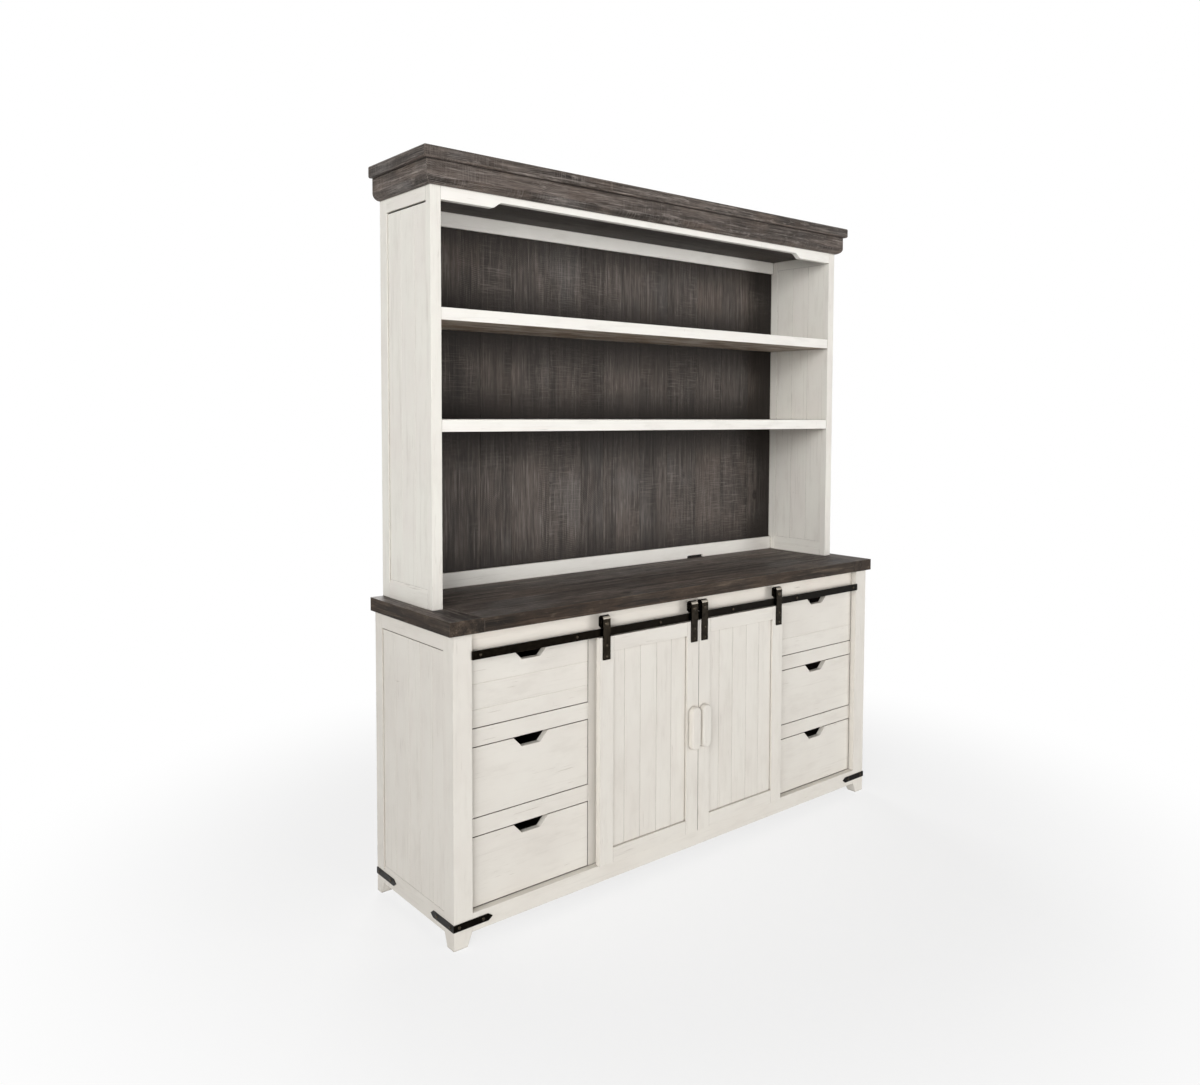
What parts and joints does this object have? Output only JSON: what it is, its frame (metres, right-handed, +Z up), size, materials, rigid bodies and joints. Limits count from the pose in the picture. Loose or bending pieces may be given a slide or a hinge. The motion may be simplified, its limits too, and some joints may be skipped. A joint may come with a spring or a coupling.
{
  "type": "buffet and hutch",
  "caption": "Farmhouse buffet with sliding barn doors on a track between drawer columns, under an open shelved hutch with a plank back and cornice.",
  "frame": {"origin": "on the floor, below the middle of the whole piece", "axes": "+Z up, +X to the viewer's right, the front faces -Y"},
  "size_m": [1.778, 0.476, 2.112],
  "materials": {
    "white_paint": "distressed off-white paint",
    "dark_wood": "dark grey-brown wire-brushed",
    "raw_wood": "clear sealed pine",
    "back_board": "plain board",
    "black_iron": "oil-rubbed black",
    "pin_steel": "plain steel"
  },
  "bodies": {
    "cabinet": {"counter_planks": "dark_wood", "counter_ends": "dark_wood", "hutch_dowels": "raw_wood", "front_posts": "white_paint", "rear_posts": "white_paint", "side_rails": "white_paint", "side_panels": "white_paint", "face_top_rail": "white_paint", "face_bottom_rail": "white_paint", "drawer_rails": "white_paint", "face_stiles": "white_paint", "partitions": "white_paint", "shelf_pins": "pin_steel", "base_floor": "white_paint", "base_back": "back_board", "inner_shelf": "white_paint", "corner_straps": "black_iron", "strap_bolts": "black_iron", "drawer_runners": "raw_wood", "barn_track": "black_iron", "track_spacers": "black_iron", "track_bolts": "black_iron", "hutch_stiles": "white_paint", "hutch_side_rails": "white_paint", "hutch_side_panels": "white_paint", "valance": "white_paint", "hutch_back_panel": "dark_wood", "hutch_back_rails": "white_paint", "shelf_upper": "white_paint", "shelf_lower": "white_paint", "hutch_soffit": "dark_wood", "cornice_mould": "dark_wood", "cornice_cap": "dark_wood"},
    "door_left": {"door_left_frame": "white_paint", "door_left_panel": "white_paint", "door_left_pull": "white_paint", "door_left_hangers": "black_iron", "door_left_bolts": "black_iron"},
    "door_left_wheel_inner": {"door_left_wheel_inner": "black_iron"},
    "door_left_wheel_outer": {"door_left_wheel_outer": "black_iron"},
    "door_right": {"door_right_frame": "white_paint", "door_right_panel": "white_paint", "door_right_pull": "white_paint", "door_right_hangers": "black_iron", "door_right_bolts": "black_iron"},
    "door_right_wheel_inner": {"door_right_wheel_inner": "black_iron"},
    "door_right_wheel_outer": {"door_right_wheel_outer": "black_iron"},
    "drawer_left_bottom": {"drawer_left_bottom_front": "white_paint", "drawer_left_bottom_box": "dark_wood"},
    "drawer_left_middle": {"drawer_left_middle_front": "white_paint", "drawer_left_middle_box": "dark_wood"},
    "drawer_left_top": {"drawer_left_top_front": "white_paint", "drawer_left_top_box": "dark_wood"},
    "drawer_right_bottom": {"drawer_right_bottom_front": "white_paint", "drawer_right_bottom_box": "dark_wood"},
    "drawer_right_middle": {"drawer_right_middle_front": "white_paint", "drawer_right_middle_box": "dark_wood"},
    "drawer_right_top": {"drawer_right_top_front": "white_paint", "drawer_right_top_box": "dark_wood"}
  },
  "joints": [
    {"name": "door_left_slide", "type": "slide", "parent": "cabinet", "child": "door_left", "axis": [1, 0, 0], "range_m": [-0.4, 0]},
    {"name": "door_left_wheel_inner_spin", "type": "hinge", "parent": "door_left", "child": "door_left_wheel_inner", "pos_m": [-0.0225, -0.21, 0.8039], "axis": [0, 1, 0], "range_deg": [-1700, 1700]},
    {"name": "door_left_wheel_outer_spin", "type": "hinge", "parent": "door_left", "child": "door_left_wheel_outer", "pos_m": [-0.375, -0.21, 0.8039], "axis": [0, 1, 0], "range_deg": [-1700, 1700]},
    {"name": "door_right_slide", "type": "slide", "parent": "cabinet", "child": "door_right", "axis": [-1, 0, 0], "range_m": [-0.4, 0]},
    {"name": "door_right_wheel_inner_spin", "type": "hinge", "parent": "door_right", "child": "door_right_wheel_inner", "pos_m": [0.0225, -0.21, 0.8039], "axis": [0, 1, 0], "range_deg": [-1700, 1700]},
    {"name": "door_right_wheel_outer_spin", "type": "hinge", "parent": "door_right", "child": "door_right_wheel_outer", "pos_m": [0.375, -0.21, 0.8039], "axis": [0, 1, 0], "range_deg": [-1700, 1700]},
    {"name": "drawer_left_bottom_slide", "type": "slide", "parent": "cabinet", "child": "drawer_left_bottom", "axis": [0, -1, 0], "range_m": [0, 0.29]},
    {"name": "drawer_left_middle_slide", "type": "slide", "parent": "cabinet", "child": "drawer_left_middle", "axis": [0, -1, 0], "range_m": [0, 0.29]},
    {"name": "drawer_left_top_slide", "type": "slide", "parent": "cabinet", "child": "drawer_left_top", "axis": [0, -1, 0], "range_m": [0, 0.29]},
    {"name": "drawer_right_bottom_slide", "type": "slide", "parent": "cabinet", "child": "drawer_right_bottom", "axis": [0, -1, 0], "range_m": [0, 0.29]},
    {"name": "drawer_right_middle_slide", "type": "slide", "parent": "cabinet", "child": "drawer_right_middle", "axis": [0, -1, 0], "range_m": [0, 0.29]},
    {"name": "drawer_right_top_slide", "type": "slide", "parent": "cabinet", "child": "drawer_right_top", "axis": [0, -1, 0], "range_m": [0, 0.29]}
  ],
  "couplings": [
    {"joint": "door_left_wheel_inner_spin", "follows": "door_left_slide", "rad_per_m": 71.429},
    {"joint": "door_left_wheel_outer_spin", "follows": "door_left_slide", "rad_per_m": 71.429},
    {"joint": "door_right_wheel_inner_spin", "follows": "door_right_slide", "rad_per_m": -71.429},
    {"joint": "door_right_wheel_outer_spin", "follows": "door_right_slide", "rad_per_m": -71.429}
  ]
}
